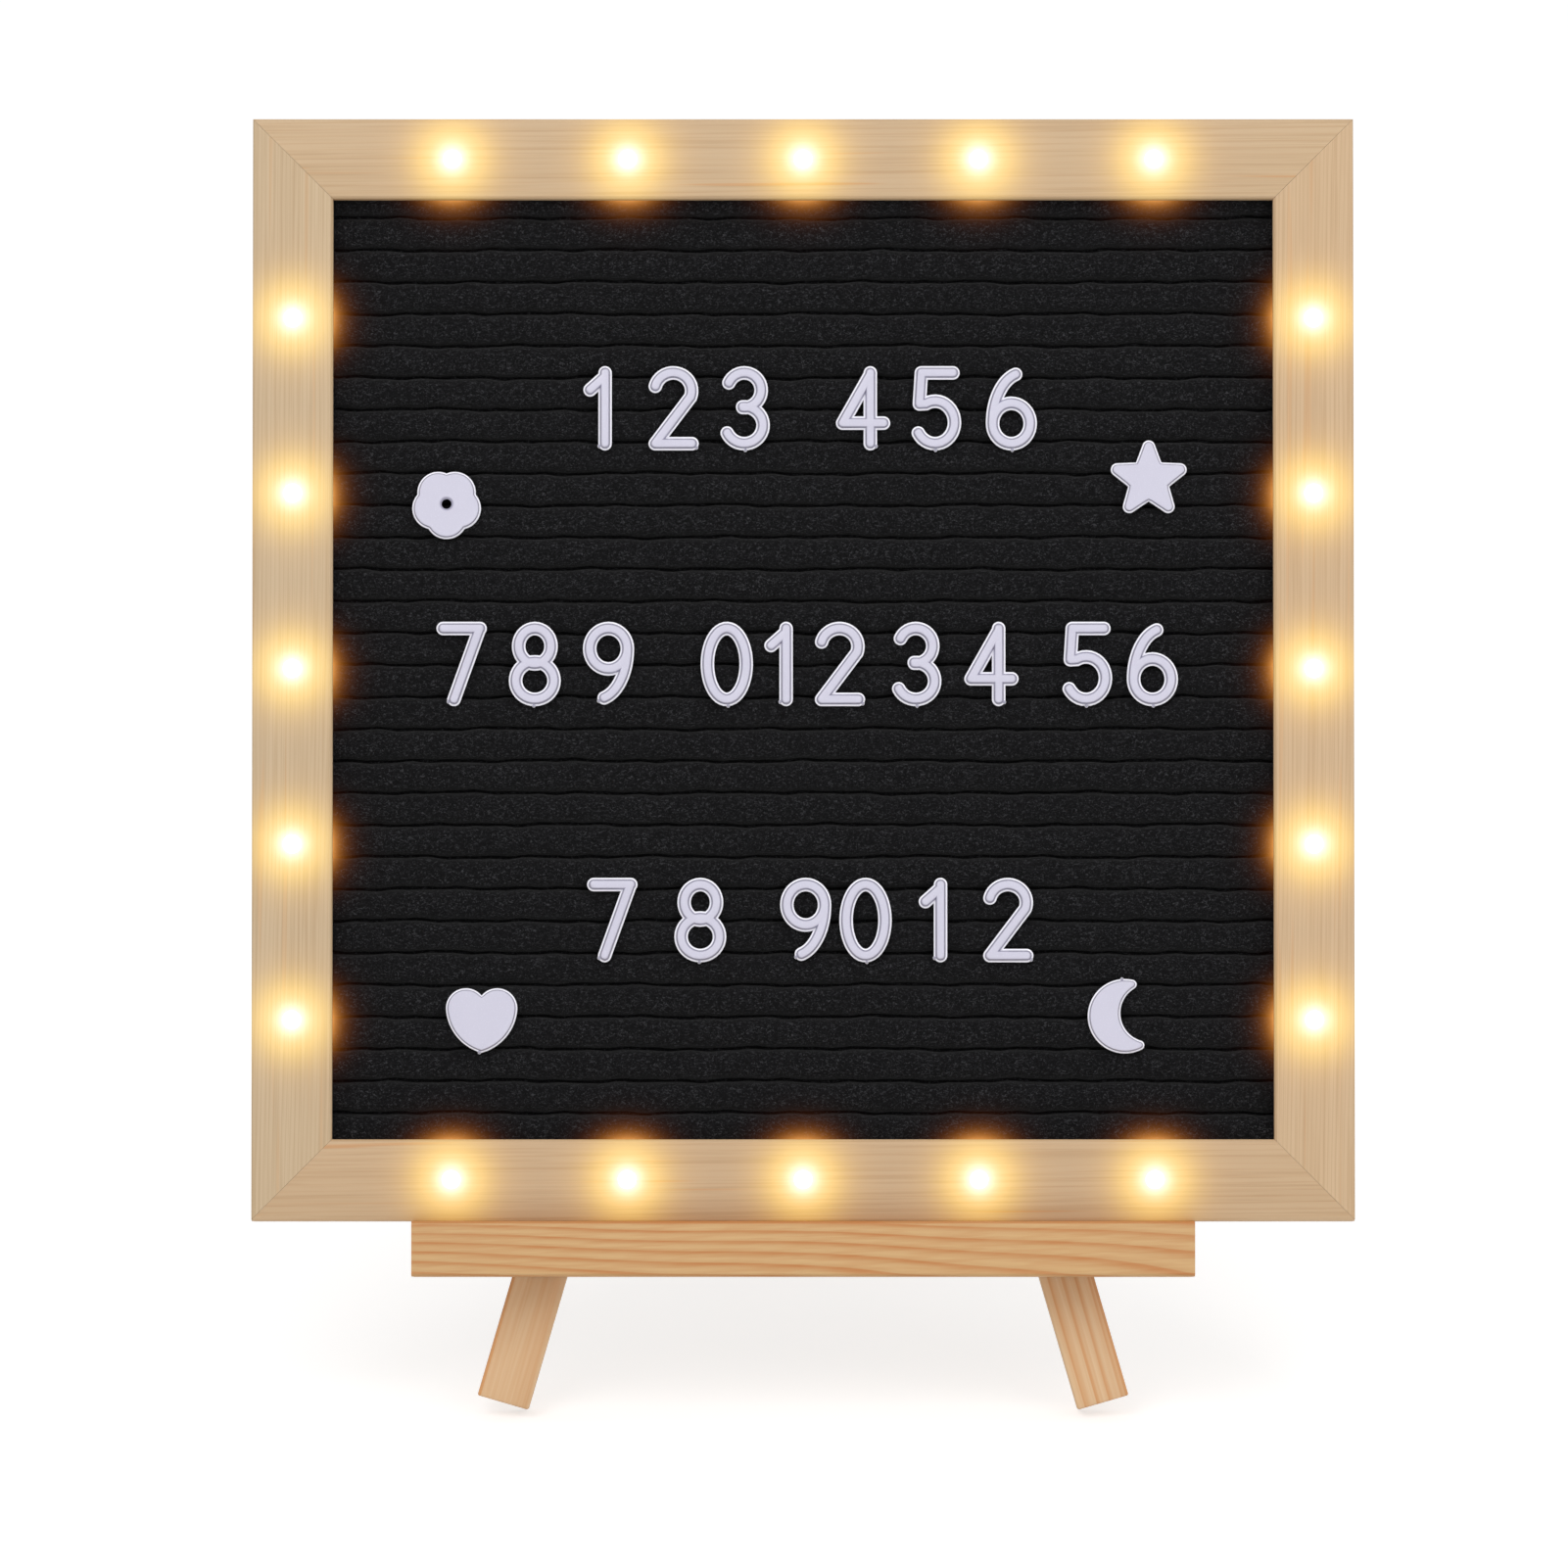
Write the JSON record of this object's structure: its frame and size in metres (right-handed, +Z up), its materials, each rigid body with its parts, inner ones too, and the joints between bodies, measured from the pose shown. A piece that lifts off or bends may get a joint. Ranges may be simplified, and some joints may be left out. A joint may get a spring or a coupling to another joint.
{
  "type": "felt letter board",
  "caption": "Square felt letter board in a lit wooden frame, with press-in plastic characters, standing on a small folding wooden easel.",
  "frame": {"origin": "on the floor, in the middle of the bounding box", "axes": "+Z up, -Y towards the viewer of the board, +X to the viewer's right; the board leans back 16 degrees towards +Y"},
  "size_m": [0.254, 0.1792, 0.2938],
  "materials": {
    "frame_wood": "fine sanded, satin",
    "easel_wood": "sanded pine with bold growth rings",
    "felt": "black felt with short fibres",
    "fibreboard": "smooth brown fibreboard",
    "lamp": "clear domed lamp, warm white",
    "letter_plastic": "white moulded plastic, satin",
    "black_plastic": "fine textured black",
    "cell_wrap": "printed film, plain",
    "contact_metal": "nickel plated",
    "screw_steel": "zinc plated",
    "hinge_brass": "brass plated, satin"
  },
  "bodies": {
    "board_and_easel": {"backing_board": "fibreboard", "battery_case": "black_plastic", "block_hinge_screw_1": "hinge_brass", "block_hinge_screw_2": "hinge_brass", "bottom_rail": "frame_wood", "contact_bridge": "contact_metal", "contact_spring": "contact_metal", "felt_sheet": "felt", "fixed_leaf": "hinge_brass", "flower": "letter_plastic", "head_block": "easel_wood", "heart": "letter_plastic", "hinge_pin": "hinge_brass", "led_string": "lamp", "ledge": "easel_wood", "left_block_screw": "screw_steel", "left_front_leg": "easel_wood", "left_ledge_screw": "screw_steel", "left_rail": "frame_wood", "lower_cell": "cell_wrap", "lower_contact": "contact_metal", "moon": "letter_plastic", "numeral_01_1": "letter_plastic", "numeral_02_2": "letter_plastic", "numeral_03_3": "letter_plastic", "numeral_04_4": "letter_plastic", "numeral_05_5": "letter_plastic", "numeral_06_6": "letter_plastic", "numeral_07_7": "letter_plastic", "numeral_08_8": "letter_plastic", "numeral_09_9": "letter_plastic", "numeral_10_0": "letter_plastic", "numeral_11_1": "letter_plastic", "numeral_12_2": "letter_plastic", "numeral_13_3": "letter_plastic", "numeral_14_4": "letter_plastic", "numeral_15_5": "letter_plastic", "numeral_16_6": "letter_plastic", "numeral_17_7": "letter_plastic", "numeral_18_8": "letter_plastic", "numeral_19_9": "letter_plastic", "numeral_20_0": "letter_plastic", "numeral_21_1": "letter_plastic", "numeral_22_2": "letter_plastic", "right_block_screw": "screw_steel", "right_front_leg": "easel_wood", "right_ledge_screw": "screw_steel", "right_rail": "frame_wood", "star": "letter_plastic", "switch_body": "black_plastic", "top_rail": "frame_wood", "upper_cell": "cell_wrap", "upper_contact": "contact_metal"},
    "folding_leg": {"rear_leg": "easel_wood", "moving_leaf": "hinge_brass", "leg_hinge_screw_1": "hinge_brass", "leg_hinge_screw_2": "hinge_brass"},
    "box_lid": {"battery_lid": "black_plastic"},
    "slide_button": {"switch_knob": "black_plastic"}
  },
  "joints": [
    {"name": "rear_leg_fold", "type": "hinge", "parent": "board_and_easel", "child": "folding_leg", "pos_m": [0, 0.0082, 0.2149], "axis": [-1, 0, 0], "range_deg": [0, 34]},
    {"name": "battery_lid_slide", "type": "slide", "parent": "board_and_easel", "child": "box_lid", "axis": [1, 0, 0], "range_m": [0, 0.012]},
    {"name": "switch_slide", "type": "slide", "parent": "board_and_easel", "child": "slide_button", "axis": [0, 0.2756, 0.9613], "range_m": [0, 0.003]}
  ]
}
